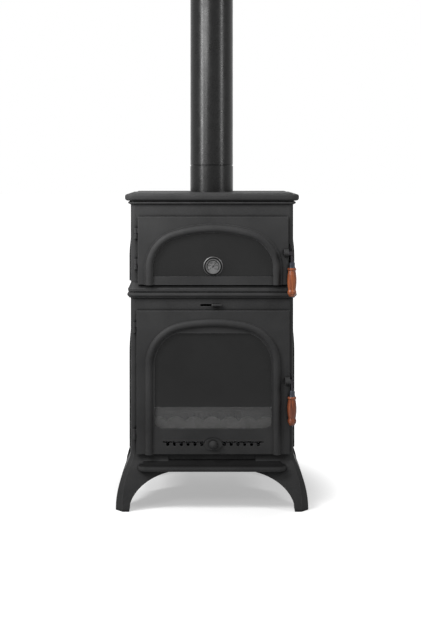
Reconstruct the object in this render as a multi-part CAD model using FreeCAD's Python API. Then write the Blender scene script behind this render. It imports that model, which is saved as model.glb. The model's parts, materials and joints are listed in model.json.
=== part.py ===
import FreeCAD, Part
import math
import os
from collections import namedtuple

# Free-standing cast-iron wood stove with an oven above the firebox, on four splayed legs.
# Millimetres. +Z is up, the doors face -Y, and +X is to the right of someone facing them.
# The origin is on the floor, under the middle of the feet.

V = FreeCAD.Vector
UP = V(0, 0, 1)
RIGHT = V(1, 0, 0)
BACK = V(0, 1, 0)
Arch = namedtuple("Arch", "half_w spring_z rise corner_r")
Door = namedtuple("Door", "half_w z0 z1 arch seal_half_w seal_z0 seal_z1 hinge_z")

# ---- Body: plan, walls and the stack of heights ----
BODY_HALF_W = 266.0     # front frames, half width
BODY_HALF_D = 205.0     # front face of the frames to the middle
CAST = 8.0              # wall of the main castings
CORNER_R = 16.0         # upright corners of the front frames
FRAME_RETURN = 40.0     # how far a front frame wraps round to the side
SWELL = 6.0             # how far the side panels swell outwards low down
CURB = 8.0              # the side and back panels stand this much above the base
PANEL_FLANGE = 12.0

LEG_H = 180.0           # floor to the underside of the front frame
BASE_PLATE = 8.0
FIREBOX_H = 504.0
MID_H = 52.0
OVEN_H = 252.0
TOP_H = 33.0
HOTPLATE_RISE = 3.0

FIRE_Z0 = LEG_H
FIRE_Z1 = FIRE_Z0 + FIREBOX_H
OVEN_Z0 = FIRE_Z1 + MID_H
OVEN_Z1 = OVEN_Z0 + OVEN_H
TOP_Z1 = OVEN_Z1 + TOP_H
HOTPLATE_Z = TOP_Z1 + HOTPLATE_RISE

FRAME_FACE = -BODY_HALF_D
FRAME_REAR = FRAME_FACE + CAST
RETURN_Y = FRAME_FACE + FRAME_RETURN
INNER_W = BODY_HALF_W - CAST
BACK_Y = BODY_HALF_D
BACK_IN = BACK_Y - CAST

# ---- Legs ----
SPLAY = 46.0            # how far a foot stands out beyond the body
SWEEP_R = 315.0         # outward curve of the lower leg
ARCH_RISE = 127.0       # height of the arch between two legs
FOOT_W = 45.0           # width of the foot on the floor
WING_IN = 124.0         # how far a wing reaches along the body from its corner
WING_ARCH_W = 179.5     # half width of the elliptical arch
FOOT_PAD = 10.0         # solid thickness of the foot
ARRIS_CUT = (17.0, 7.5)     # depth of the bevel along the outer corner, at the foot and top
HOLE_CLEAR = 0.5        # bolt and rod holes, on the radius
LEG_BOLT_R = 4.0
LEG_FLANGE = 62.0
LEG_BOLT_IN = 30.0
NUT_ACROSS = 13.0
NUT_H = 6.5
BASE_CORNER_R = 22.0
CURB_W = 12.0

# ---- Ash lip ----
LIP_HALF_W = BODY_HALF_W - 26.0
LIP_FRONT = FRAME_FACE - 44.0
LIP_CORNER = 25.0
LIP_Z0 = LEG_H - 54.0
LIP_Z1 = LEG_H - 34.0
LIP_DISH = LEG_H - 38.0
LIP_BACK_Z = LEG_H - 22.0
LIP_RIM_R = 8.5
LIP_RIM_W = 17.0
LIP_TAB = 45.0

# ---- Middle plate ----
MID_BEAD_OUT = 11.5
MID_BAND_OUT = 9.0
MID_NECK_OUT = 6.0
MID_PLATE = 12.0
SMOKE_HALF_W = 150.0
SMOKE_Y = (BACK_IN - 27.0, BACK_IN - 5.0)

# ---- Top plate ----
TOP_RIM_OUT = (19.0, 15.0)
TOP_BEAD_OUT = 8.5
TOP_NECK_OUT = 2.5
TOP_PLATE = 13.0
TOP_RIM_H = 21.0
HOTPLATE_IN = 23.0
BOSS_R = 10.0
BOSS_H = 12.0
BOSS_Z = TOP_Z1 - TOP_PLATE - BOSS_H
ROD_FIT = 0.05          # the rods' close holes, on the radius

# ---- Flue ----
FLUE_R = 75.0
FLUE_WALL = 2.0
FLUE_Y = BACK_Y - 110.0
COLLAR_H = 91.0
COLLAR_WALL = 6.0
PIPE_LEN = 750.0
SPIGOT_LEN = 50.0
JOINT_GROOVE = 2.0

# ---- Doors ----
DOOR_X = 3.5            # both doors sit a little right of the middle
FIRE_DOOR_IN = 17.0     # door edge to the body's edge, each side
OVEN_DOOR_IN = 21.0
SEAL_IN = 20.0          # rope seal inside the door's edge
DOOR_GAP = 5.0          # door back to frame face, filled by the rope seal
DOOR_PLATE = 8.0
DOOR_EDGE_R = 2.0
DOOR_BACK = FRAME_FACE - DOOR_GAP
DOOR_FACE = DOOR_BACK - DOOR_PLATE
MOULD_W = 24.0
MOULD_H = 9.0
SEAL_W = 8.0
SEAL_GROOVE = 3.0
GLASS = 4.0
GLASS_LAP = 8.0
GASKET = 1.0
RECESS = 3.0
CLIP_OFF = 1.6          # glass clip's middle beyond the recess
CLEAR = 0.3             # gap between pieces that move past each other

APERTURE_IN = 4.0       # frame opening inside the seal's inner edge
APERTURE_R = 14.0

FIRE_DOOR_HALF = BODY_HALF_W - FIRE_DOOR_IN
FIRE_DOOR_Z0 = FIRE_Z0 - 4.0
FIRE_DOOR_Z1 = FIRE_Z1 - 41.0
FIRE_ARCH = Arch(FIRE_DOOR_HALF - 41.0, FIRE_DOOR_Z1 - 175.0, 135.0, 126.0)
FIRE_DOOR = Door(
    FIRE_DOOR_HALF, FIRE_DOOR_Z0, FIRE_DOOR_Z1, FIRE_ARCH,
    FIRE_DOOR_HALF - 22.0, FIRE_DOOR_Z0 + 5.0, FIRE_DOOR_Z1 - 17.0,
    (FIRE_DOOR_Z0 + 65.0, FIRE_DOOR_Z1 - 55.0),
)
OVEN_DOOR_HALF = BODY_HALF_W - OVEN_DOOR_IN
OVEN_DOOR_Z0 = OVEN_Z0 - 9.0
OVEN_DOOR_Z1 = OVEN_Z1 - 39.4
OVEN_ARCH = Arch(OVEN_DOOR_HALF - 38.0, OVEN_DOOR_Z1 - 166.6, 127.0, 112.0)
OVEN_DOOR = Door(
    OVEN_DOOR_HALF, OVEN_DOOR_Z0, OVEN_DOOR_Z1, OVEN_ARCH,
    OVEN_DOOR_HALF - SEAL_IN, OVEN_DOOR_Z0 + 11.0, OVEN_DOOR_Z1 - 6.6,
    (OVEN_DOOR_Z1 - 154.6, OVEN_DOOR_Z1 - 54.6),
)

FIRE_WINDOW_GROW = -18.0
FIRE_WINDOW_TOP = FIRE_DOOR_Z1 - 73.0
FIRE_WINDOW_Z0 = FIRE_DOOR_Z0 + 83.0
FIRE_WINDOW_FLAT = FIRE_ARCH.half_w + FIRE_WINDOW_GROW - 34.0
FIRE_WINDOW_CORNER = 11.0
OVEN_WINDOW_GROW = -13.0
OVEN_WINDOW_Z0 = OVEN_DOOR_Z0 + 27.5
OVEN_STEP_W = 5.0
OVEN_STEP_H = 2.0

# ---- Hinges ----
HINGE_OUT = 6.5         # hinge axis to the door's edge
HINGE_Y = FRAME_FACE - 7.0
KNUCKLE_R = 5.5
KNUCKLE_LEN = 14.0
KNUCKLE_GAP = 5.0
PIN_R = 3.0
PIN_CLEAR = 0.06
PIN_COLLAR_R = 4.2

# ---- Latches ----
LATCH_X = BODY_HALF_W - 9.0
LATCH_THK = 7.0
LATCH_Y = FRAME_FACE - 30.0
LATCH_END_X = LATCH_X + 6.5
FIRE_LATCH_Z = FIRE_DOOR_Z0 + 239.0
OVEN_LATCH_Z = OVEN_DOOR_Z0 + 104.0
LATCH_SLOT_W = 11.0
LATCH_SLOT_DOWN = 36.0
LATCH_SLOT_UP = 28.0
LATCH_POCKET_Y = FRAME_REAR + 15.0
LUG_R = 8.5
LUG_LEN = 15.0
HANDLE_X = LATCH_X + 1.5
TANG_R = 3.4
FERRULE_R = 9.6
FERRULE_TOP = -27.0
GRIP_TOP = -47.0
GRIP_LEN = 92.0
GRIP_R = 15.0

# ---- Air controls ----
AIR_SLOT_HALF = FIRE_ARCH.half_w - 44.0
AIR_SLOT_Z1 = FIRE_DOOR_Z0 + 43.0
AIR_SLOT_H = 4.5
NOTCH_W = 11.0
NOTCH_PITCH = 22.0
NOTCH_FIRST = 37.0
NOTCH_COUNT = int((AIR_SLOT_HALF - NOTCH_FIRST) / NOTCH_PITCH) + 1
NOTCH_Z0 = FIRE_DOOR_Z0 + 27.0
SHUTTER_TRAVEL = 11.0
SHUTTER_THK = 2.4
SHUTTER_Z0 = NOTCH_Z0 - 4.5
SHUTTER_Z1 = AIR_SLOT_Z1 + 6.0
GUIDE_LIP = 1.4
GUIDE_H = 6.0
GUIDE_OVER = 3.5
SHUTTER_HALF = AIR_SLOT_HALF + 12.0
KNOB_Z = FIRE_DOOR_Z0 + 34.0
KNOB_STEM_R = 3.8
AIRWASH_Z = FIRE_DOOR_Z1 + 16.8
AIRWASH_H = 7.5
AIRWASH_X = (-39.0, 34.0)
AIRWASH_STEM_X = AIRWASH_X[1] - 33.0
SLIDE_HALF_H = 13.0

# ---- Inside the firebox ----
BED_Z = FIRE_Z0 + 47.0  # top of the firebed plate
BRICK_H = 18.0
FENCE_Y = FRAME_REAR + 29.0
FENCE_TOP = BED_Z + 60.0
SCALLOP_PITCH = 59.0
SCALLOP_H = 16.0
GRATE_HALF_W = 108.0
GRATE_H = 14.0
GRATE_Y = (FENCE_Y + 98.0, BACK_IN - 87.0)
BAFFLE_Z = FIRE_Z1 - 84.0
PAN_HALF_W = INNER_W - 60.0
PAN_Z0 = FIRE_Z0 + 11.0
PAN_H = 16.0
PAN_WALL = 1.5
PAN_Y = (FRAME_REAR + 47.0, BACK_IN - 69.0)
ROD_R = 4.0
ROD_X = INNER_W - 18.0
ROD_Y = BACK_IN - 12.0

# ---- Inside the oven ----
LINER = 6.0
CAVITY_HALF_W = INNER_W - 36.0
CAVITY_Z0 = OVEN_Z0 + 26.0
CAVITY_Z1 = OVEN_Z1 - 40.0
CAVITY_BACK = BACK_IN - 42.0
RACK_Z = CAVITY_Z0 + 88.0
RACK_WIRE_R = 3.0

# ---- Thermometer ----
THERMO_Z = OVEN_WINDOW_Z0 + 32.5
THERMO_R = 31.5
THERMO_DIAL_R = 23.5
THERMO_BODY_R = 25.0
THERMO_NUT_OUT = 5.0
THERMO_NUT_H = 4.0
THERMO_PROBE = -16.0
THERMO_SHAFT_R = 1.0
POINTER_ANGLE = 42.0

parts = {}


# ---- Basic shapes ----
def box(x0, x1, y0, y1, z0, z1):
    return Part.makeBox(x1 - x0, y1 - y0, z1 - z0, V(x0, y0, z0))


def rod(radius, start, direction, length):
    return Part.makeCylinder(radius, length, start, direction)


def union(shapes):
    first, rest = shapes[0], shapes[1:]
    return first.fuse(rest).removeSplitter() if rest else first


def along(edge, direction):
    """Is this a straight edge along the direction?"""
    if edge.Curve.TypeId != "Part::GeomLine":
        return False
    return abs(abs(edge.Curve.Direction.dot(direction)) - 1) < 1e-6


def prism_x(points, x0, x1):
    """A solid whose outline is a list of (y, z) points, between two planes of constant x."""
    wire = Part.makePolygon([V(x0, y, z) for y, z in points + points[:1]])
    return Part.Face(wire).extrude(V(x1 - x0, 0, 0))


def prism_y(points, y0, y1):
    """A solid whose outline is a list of (x, z) points, between two planes of constant y."""
    wire = Part.makePolygon([V(x, y0, z) for x, z in points + points[:1]])
    return Part.Face(wire).extrude(V(0, y1 - y0, 0))


def slab(half_w, half_d, radius, z0, z1):
    """A flat block on the stove's centre with rounded upright corners."""
    block = box(-half_w, half_w, -half_d, half_d, z0, z1)
    return block.makeFillet(radius, [e for e in block.Edges if along(e, UP)])


def panel(cx, half_w, z0, z1, radius, y0, y1):
    """An upright rectangle with rounded corners, with its thickness along Y."""
    block = box(cx - half_w, cx + half_w, y0, y1, z0, z1)
    return block.makeFillet(radius, [e for e in block.Edges if along(e, BACK)])


def rim_edges(shape, z):
    """Edges that lie flat at this height."""
    return [e for e in shape.Edges if abs(e.BoundBox.ZMin - z) < 1e-4 and abs(e.BoundBox.ZMax - z) < 1e-4]


def round_rims(shape, radius, heights):
    edges = []
    for z in heights:
        edges += rim_edges(shape, z)
    return shape.makeFillet(radius, edges)


def bevel_rims(shape, size, heights):
    edges = []
    for z in heights:
        edges += rim_edges(shape, z)
    return shape.makeChamfer(size, edges)


def turned(points, centre, axis_dir, radial_dir):
    """Revolve an outline of (radius, distance along the axis) points about an axis."""
    wire_points = [centre + radial_dir * r + axis_dir * d for r, d in points + points[:1]]
    return Part.Face(Part.makePolygon(wire_points)).revolve(centre, axis_dir, 360)


# ---- Three-centred arch of the doors ----
def arch_geometry(arch, grow):
    """Half width, rise, corner radius, crown radius and corner angle of an offset arch."""
    a = arch.half_w + grow
    h = arch.rise + grow
    r = arch.corner_r + grow
    crown = ((a - r) ** 2 + h ** 2 - r ** 2) / (2 * (h - r))
    phi = math.atan2(crown - h, a - r)
    return a, h, r, crown, phi


def arch_face(arch, grow, foot_z, y):
    """The area inside the arch and its legs, in the plane of this y."""
    a, h, r, crown, phi = arch_geometry(arch, grow)
    zs = arch.spring_z

    def corner(side, angle):
        x = DOOR_X + side * (a - r + r * math.cos(angle))
        return V(x, y, zs + r * math.sin(angle))

    foot_l = V(DOOR_X - a, y, foot_z)
    foot_r = V(DOOR_X + a, y, foot_z)
    top = V(DOOR_X, y, zs + h)
    edges = [
        Part.makeLine(foot_l, corner(-1, 0)),
        Part.Arc(corner(-1, 0), corner(-1, phi / 2), corner(-1, phi)).toShape(),
        Part.Arc(corner(-1, phi), top, corner(1, phi)).toShape(),
        Part.Arc(corner(1, phi), corner(1, phi / 2), corner(1, 0)).toShape(),
        Part.makeLine(corner(1, 0), foot_r),
        Part.makeLine(foot_r, foot_l),
    ]
    return Part.Face(Part.Wire(edges))


def arch_prism(arch, grow, foot_z, y0, y1):
    return arch_face(arch, grow, foot_z, y0).extrude(V(0, y1 - y0, 0))


def arch_moulding(arch, foot_z):
    """Half-round moulding that runs up one leg, over the arch and down the other."""
    a, h, r, crown, phi = arch_geometry(arch, 0)
    zs = arch.spring_z
    x = DOOR_X - a
    half = MOULD_W / 2
    left, right = V(x - half, DOOR_FACE, zs), V(x + half, DOOR_FACE, zs)
    sunk = V(0, DOOR_EDGE_R, 0)
    edges = [
        Part.Arc(left, V(x, DOOR_FACE - MOULD_H, zs), right).toShape(),
        Part.makeLine(right, right + sunk),
        Part.makeLine(right + sunk, left + sunk),
        Part.makeLine(left + sunk, left),
    ]
    section = Part.Face(Part.Wire(edges))
    leg = zs - foot_z
    turn = math.degrees(phi)
    corner_l = V(DOOR_X - (a - r), 0, zs)
    corner_r = V(DOOR_X + (a - r), 0, zs)
    centre = V(DOOR_X, 0, zs + h - crown)
    pieces = [section.extrude(V(0, 0, -leg)), section.revolve(corner_l, BACK, turn)]
    over = section.copy()
    over.rotate(corner_l, BACK, turn)
    pieces.append(over.revolve(centre, BACK, 2 * (90 - turn)))
    down = over.copy()
    down.rotate(centre, BACK, 2 * (90 - turn))
    pieces.append(down.revolve(corner_r, BACK, turn))
    foot = section.copy()
    foot.translate(V(2 * a, 0, 0))
    pieces.append(foot.extrude(V(0, 0, -leg)))
    return union(pieces)


# ---- Legs and base ----
def leg_outline(body_half, inset):
    """Points of a leg's outer edge seen from one side, as (offset, z): two arcs that meet."""
    foot = body_half + SPLAY - inset
    top = body_half - inset
    both_r = (SPLAY ** 2 + LEG_H ** 2) / (2 * SPLAY)
    turn = math.asin(LEG_H / both_r)
    upper_r = both_r - SWEEP_R
    centre = foot - SWEEP_R
    low_mid = (centre + SWEEP_R * math.cos(turn / 2), SWEEP_R * math.sin(turn / 2))
    join = (centre + SWEEP_R * math.cos(turn), SWEEP_R * math.sin(turn))
    centre = top + upper_r
    high_mid = (centre - upper_r * math.cos(turn / 2), LEG_H - upper_r * math.sin(turn / 2))
    return foot, top, low_mid, join, high_mid


def leg_profile(body_half, to_point, inset, hollow):
    """Closed outline of a leg in one view. to_point turns (offset, z) into a 3-D point."""
    foot, top, low_mid, join, high_mid = leg_outline(body_half, inset)
    p = to_point
    outer = [
        Part.Arc(p(top, LEG_H), p(*high_mid), p(*join)).toShape(),
        Part.Arc(p(*join), p(*low_mid), p(foot, 0)).toShape(),
    ]
    if hollow:
        far = body_half - WING_IN - CAST
        corners = [p(foot, 0), p(far, 0), p(far, LEG_H), p(top, LEG_H)]
        inner = [Part.makeLine(a, b) for a, b in zip(corners, corners[1:])]
        return Part.Face(Part.Wire(outer + inner))
    centre = body_half + SPLAY - FOOT_W - WING_ARCH_W
    end = body_half - WING_IN
    angle = math.acos((end - centre) / WING_ARCH_W)
    ellipse = Part.Ellipse(p(centre + WING_ARCH_W, 0), p(centre, ARCH_RISE), p(centre, 0))
    arch_end = p(end, ARCH_RISE * math.sin(angle))
    inner = [
        Part.makeLine(p(foot, 0), p(centre + WING_ARCH_W, 0)),
        Part.ArcOfEllipse(ellipse, 0, angle).toShape(),
        Part.makeLine(arch_end, p(end, LEG_H)),
        Part.makeLine(p(end, LEG_H), p(top, LEG_H)),
    ]
    return Part.Face(Part.Wire(Part.__sortEdges__(outer + inner)))


def leg_corner(inset):
    """Everything inside a bevel that follows the leg's outer corner from the floor to its top."""
    foot, top, low_mid, join, high_mid = leg_outline(BODY_HALF_W, inset)
    offset = BODY_HALF_W - BODY_HALF_D
    wide = BODY_HALF_W + SPLAY
    at_foot, at_top = ARRIS_CUT

    def p(x, z):
        depth = at_foot + (at_top - at_foot) * z / LEG_H - inset * (math.sqrt(2) - 1)
        cut = depth / math.sqrt(2)
        return V(x - cut - wide, offset - x + cut - wide, z)

    far = top - wide
    edges = [
        Part.Arc(p(top, LEG_H), p(*high_mid), p(*join)).toShape(),
        Part.Arc(p(*join), p(*low_mid), p(foot, 0)).toShape(),
        Part.makeLine(p(foot, 0), p(far, 0)),
        Part.makeLine(p(far, 0), p(far, LEG_H)),
        Part.makeLine(p(far, LEG_H), p(top, LEG_H)),
    ]
    return Part.Face(Part.Wire(edges)).extrude(V(2 * wide, 2 * wide, 0))


def leg_block(inset, hollow):
    """What the front view and the side view of a leg share, with its outer corner bevelled."""
    reach = BODY_HALF_W + SPLAY + CAST
    front = leg_profile(BODY_HALF_W, lambda s, z: V(s, -reach, z), inset, hollow)
    side = leg_profile(BODY_HALF_D, lambda s, z: V(reach, -s, z), inset, hollow)
    block = front.extrude(V(0, reach, 0)).common(side.extrude(V(-reach, 0, 0)))
    return block.common(leg_corner(inset)).Solids[0]


def front_right_leg():
    leg = leg_block(0, False)
    hollow = leg_block(CAST, True)
    hollow = hollow.common(box(0, BODY_HALF_W + SPLAY, -BODY_HALF_W - SPLAY, 0, FOOT_PAD, LEG_H))
    leg = leg.cut(hollow)
    z1 = LEG_H - BASE_PLATE
    x1, y1 = INNER_W + 1, FRAME_REAR - 1
    flange = box(x1 - LEG_FLANGE, x1, y1, y1 + LEG_FLANGE, z1 - CAST, z1)
    leg = union([leg, flange])
    for radius, at in ((ROD_R, V(ROD_X, -ROD_Y, 0)), (LEG_BOLT_R, leg_bolt_at(0))):
        leg = leg.cut(rod(radius + HOLE_CLEAR, at + V(0, 0, z1 - CAST - 1), UP, CAST + 2))
    return leg


def leg_bolt_at(z):
    return V(INNER_W - LEG_BOLT_IN, FRAME_REAR + LEG_BOLT_IN, z)


def four_corners(shape):
    """The same piece at the four corners: front right, front left, back right, back left."""
    left = shape.mirror(V(0, 0, 0), RIGHT)
    return shape, left, shape.mirror(V(0, 0, 0), BACK), left.mirror(V(0, 0, 0), BACK)


def hexagon(across, centre, height):
    r = across / math.sqrt(3)
    corners = []
    for k in range(7):
        angle = math.radians(60 * k)
        corners.append(centre + V(r * math.cos(angle), r * math.sin(angle), 0))
    return Part.Face(Part.makePolygon(corners)).extrude(V(0, 0, height))


def legs_and_base():
    leg = front_right_leg()
    names = ("leg_front_right", "leg_front_left", "leg_back_right", "leg_back_left")
    for name, shape in zip(names, four_corners(leg)):
        parts[name] = shape
    plate_z0 = LEG_H - BASE_PLATE
    half_w, half_d = INNER_W - 0.5, -FRAME_REAR - 0.5
    corner_r = BASE_CORNER_R
    plate = slab(half_w, half_d, corner_r, plate_z0, LEG_H)
    rim = slab(half_w, half_d, corner_r, LEG_H, LEG_H + CURB)
    well = slab(half_w - CURB_W, half_d - CURB_W, corner_r - CURB_W, LEG_H, LEG_H + CURB)
    rim = rim.cut(well).cut(box(-half_w, half_w, -half_d, RETURN_Y, LEG_H, LEG_H + CURB))
    base = union([plate, rim])
    bolt_hole = rod(LEG_BOLT_R + HOLE_CLEAR, leg_bolt_at(plate_z0 - 1), UP, BASE_PLATE + 2)
    rod_at = V(ROD_X, -ROD_Y, plate_z0 - 1)
    rod_hole = rod(ROD_R + HOLE_CLEAR, rod_at, UP, BASE_PLATE + CURB + 2)
    for hole in four_corners(bolt_hole) + four_corners(rod_hole):
        base = base.cut(hole)
    parts["base_plate"] = base
    head_z = plate_z0 - CAST
    shank = rod(LEG_BOLT_R, leg_bolt_at(head_z), UP, CAST + BASE_PLATE + NUT_H + 2)
    bolt = hexagon(NUT_ACROSS, leg_bolt_at(head_z - NUT_H), NUT_H).fuse(shank)
    nut = hexagon(NUT_ACROSS, leg_bolt_at(LEG_H), NUT_H)
    nut = nut.cut(rod(LEG_BOLT_R, leg_bolt_at(LEG_H), UP, NUT_H))
    parts["leg_bolts"] = Part.makeCompound(list(four_corners(bolt) + four_corners(nut)))


# ---- Ash lip ----
def lip_plan(inset, z0, z1):
    """Plan of the ash lip: straight ends and front, with rounded corners."""
    w = LIP_HALF_W - inset
    front = LIP_FRONT + inset
    block = box(-w, w, front, FRAME_REAR, z0, z1)
    edges = [e for e in block.Edges if along(e, UP) and e.BoundBox.YMax < FRAME_FACE]
    return block.makeFillet(LIP_CORNER - inset / 2, edges)


def ash_lip():
    rim = lip_plan(0, LIP_Z0, LIP_Z1)
    outer = []
    for z in (LIP_Z0, LIP_Z1):
        outer += [e for e in rim_edges(rim, z) if e.BoundBox.YMin < FRAME_REAR - 1]
    rim = rim.makeFillet(LIP_RIM_R, outer)
    rim = rim.cut(lip_plan(LIP_RIM_W, LIP_DISH, LIP_Z1 + 1))
    rim = rim.cut(lip_plan(CAST, LIP_Z0 - 1, LIP_DISH - CAST))
    w = LIP_HALF_W - LIP_RIM_W
    toe = LIP_FRONT + LIP_RIM_W
    low = LIP_DISH - 2
    ramp = [(toe, low), (FRAME_FACE, LIP_BACK_Z), (FRAME_REAR, LIP_BACK_Z), (FRAME_REAR, low)]
    ramp = prism_x(ramp, -w, w)
    wing_end = BODY_HALF_W - WING_IN
    tab_end = wing_end - 12
    wall = box(-wing_end, wing_end, FRAME_FACE, FRAME_REAR, LIP_DISH - CAST, LEG_H)
    tab_z1 = LEG_H - BASE_PLATE
    tab = box(-tab_end, tab_end, FRAME_REAR, FRAME_REAR + LIP_TAB, tab_z1 - CAST, tab_z1)
    lip = union([rim, ramp, wall, tab])
    leg = leg_block(-CLEAR, False)
    return lip.cut(leg).cut(leg.mirror(V(0, 0, 0), RIGHT)).Solids[0]


# ---- Front frames, panels and moulded plates ----
def latch_slot(z):
    """Slot in a front frame for a latch's nose, with room behind it for the hook."""
    x0 = LATCH_X - LATCH_SLOT_W / 2
    x1 = LATCH_X + LATCH_SLOT_W / 2
    outline = [
        (x0, z - LATCH_SLOT_DOWN),
        (x1, z - LATCH_SLOT_DOWN),
        (x1, z + 8),
        (x0 + 2.5, z + LATCH_SLOT_UP),
        (x0, z + LATCH_SLOT_UP),
    ]
    slot = prism_y(outline, FRAME_FACE - 1, FRAME_REAR + 1)
    return slot, box(x0, x1, FRAME_REAR, LATCH_POCKET_Y, z - LATCH_SLOT_DOWN, z + LATCH_SLOT_UP + 2)


def aperture(door):
    """Half width and heights of the frame opening behind a door."""
    inside = SEAL_W + APERTURE_IN
    return door.seal_half_w - inside, door.seal_z0 + inside - 3, door.seal_z1 - inside


def front_frame(z0, z1, door, latch_z):
    outer = box(-BODY_HALF_W, BODY_HALF_W, FRAME_FACE, RETURN_Y, z0, z1)
    front = [e for e in outer.Edges if along(e, UP) and e.BoundBox.YMax < FRAME_FACE + 1]
    outer = outer.makeFillet(CORNER_R, front)
    inner = box(-INNER_W, INNER_W, FRAME_REAR, RETURN_Y + 1, z0 - 1, z1 + 1)
    front = [e for e in inner.Edges if along(e, UP) and e.BoundBox.YMax < FRAME_REAR + 1]
    frame = outer.cut(inner.makeFillet(CORNER_R - CAST, front))
    half_w, a_z0, a_z1 = aperture(door)
    frame = frame.cut(panel(DOOR_X, half_w, a_z0, a_z1, APERTURE_R, FRAME_FACE - 1, FRAME_REAR + 1))
    for cut in latch_slot(latch_z):
        frame = frame.cut(cut)
    return union([frame] + [frame_knuckle(door, z) for z in door.hinge_z])


def s_curve(x_high, z_high, x_low, z_low, y):
    """Two arcs that carry a wall from one offset to another, upright at both ends."""
    half_x = (x_low - x_high) / 2
    half_z = (z_high - z_low) / 2
    r = (half_x ** 2 + half_z ** 2) / (2 * half_x)
    quarter = r - math.sqrt(r ** 2 - (half_z / 2) ** 2)
    middle = V(x_high + half_x, y, z_high - half_z)
    upper = Part.Arc(V(x_high, y, z_high), V(x_high + quarter, y, z_high - half_z / 2), middle)
    lower = Part.Arc(middle, V(x_low - quarter, y, z_low + half_z / 2), V(x_low, y, z_low))
    return [upper.toShape(), lower.toShape()]


def swollen(x_in, x_out, swell, z0, z1, swell_z, y0, y1):
    """A wall whose outside swells by swell between the two heights of swell_z."""
    high, low = swell_z
    edges = [Part.makeLine(V(x_out, y0, z1), V(x_out, y0, high))]
    edges += s_curve(x_out, high, x_out + swell, low, y0)
    edges += [
        Part.makeLine(V(x_out + swell, y0, low), V(x_out + swell, y0, z0)),
        Part.makeLine(V(x_out + swell, y0, z0), V(x_in, y0, z0)),
        Part.makeLine(V(x_in, y0, z0), V(x_in, y0, z1)),
        Part.makeLine(V(x_in, y0, z1), V(x_out, y0, z1)),
    ]
    return Part.Face(Part.Wire(edges)).extrude(V(0, y1 - y0, 0))


def side_panel(z0, z1, swell_z):
    """Right side panel: even wall, hollowed behind the swelling, with flat flanges."""
    wall = swollen(INNER_W, BODY_HALF_W, SWELL, z0, z1, swell_z, RETURN_Y, BACK_Y)
    flange = PANEL_FLANGE
    y0, y1 = RETURN_Y + flange, BACK_IN - flange
    hollow = swollen(INNER_W - 5, INNER_W, SWELL, z0 + flange, z1 - flange, swell_z, y0, y1)
    hollow = hollow.cut(box(INNER_W - 6, INNER_W + 0.01, RETURN_Y, BACK_Y, z0, z1))
    return wall.cut(hollow)


def back_panel(z0, z1):
    plate = box(-INNER_W, INNER_W, BACK_IN, BACK_Y, z0, z1)
    margin = 45
    rib = 3
    field = panel(0, INNER_W - margin, z0 + margin, z1 - margin, 12, BACK_Y - rib, BACK_Y + 1)
    return plate.cut(field)


def sloped_slab(low, high):
    """A loft between two rounded rectangles given as (half_w, half_d, radius, z)."""
    wires = []
    for half_w, half_d, radius, z in (low, high):
        block = slab(half_w, half_d, radius, z, z + 1)
        face = [f for f in block.Faces if f.BoundBox.ZMax < z + 0.5][0]
        wires.append(face.OuterWire)
    return Part.makeLoft(wires, True, True)


def mid_plate():
    def ring(out):
        return BODY_HALF_W + out, BODY_HALF_D + out, CORNER_R + out

    z = FIRE_Z1
    neck = slab(*ring(MID_NECK_OUT), z, z + 30)
    bead = round_rims(slab(*ring(MID_BEAD_OUT), z + 2.5, z + 17), 7.2, (z + 2.5, z + 17))
    band = bevel_rims(slab(*ring(MID_BAND_OUT), z + 20.5, z + 31), 1.5, (z + 20.5, z + 31))
    slope = sloped_slab(ring(MID_BAND_OUT - 1.5) + (z + 30,), ring(-2) + (z + MID_H,))
    plate = union([neck, bead, band, slope])
    plate = plate.cut(slab(INNER_W, -FRAME_REAR, CAST, z - 1, z + MID_H - MID_PLATE))
    plate = plate.cut(box(-SMOKE_HALF_W, SMOKE_HALF_W, *SMOKE_Y, z, z + MID_H + 1))
    for hole in four_corners(rod(ROD_R + ROD_FIT, V(ROD_X, -ROD_Y, z), UP, MID_H + 1)):
        plate = plate.cut(hole)
    return plate


def top_plate():
    z = OVEN_Z1
    rim_z = TOP_Z1 - TOP_RIM_H
    rim_w, rim_d = BODY_HALF_W + TOP_RIM_OUT[0], BODY_HALF_D + TOP_RIM_OUT[1]
    neck = slab(BODY_HALF_W + TOP_NECK_OUT, BODY_HALF_D + TOP_NECK_OUT, CORNER_R, z, rim_z)
    bead_w, bead_d = BODY_HALF_W + TOP_BEAD_OUT, BODY_HALF_D + TOP_BEAD_OUT
    bead = bevel_rims(slab(bead_w, bead_d, CORNER_R + 6, z + 2, z + 9.4), 2.2, (z + 2, z + 9.4))
    rim = slab(rim_w, rim_d, CORNER_R + 14, rim_z, TOP_Z1)
    rim = round_rims(rim, 7.0, (TOP_Z1,))
    rim = round_rims(rim, 9.0, (rim_z,))
    low = (rim_w - HOTPLATE_IN + 4, rim_d - HOTPLATE_IN + 4, CORNER_R, TOP_Z1 - 1)
    high = (rim_w - HOTPLATE_IN, rim_d - HOTPLATE_IN, CORNER_R - 4, HOTPLATE_Z)
    plate = union([neck, bead, rim, sloped_slab(low, high)])
    plate = plate.cut(slab(INNER_W, -FRAME_REAR, CAST, z - 1, TOP_Z1 - TOP_PLATE))
    plate = plate.cut(rod(FLUE_R - 3, V(0, FLUE_Y, z), UP, HOTPLATE_Z - z + 1))
    bosses = four_corners(rod(BOSS_R, V(ROD_X, -ROD_Y, BOSS_Z), UP, BOSS_H + 1))
    plate = union([plate] + list(bosses))
    for hole in four_corners(rod(ROD_R + ROD_FIT, V(ROD_X, -ROD_Y, BOSS_Z - 1), UP, BOSS_H + 3)):
        plate = plate.cut(hole)
    return plate


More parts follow.
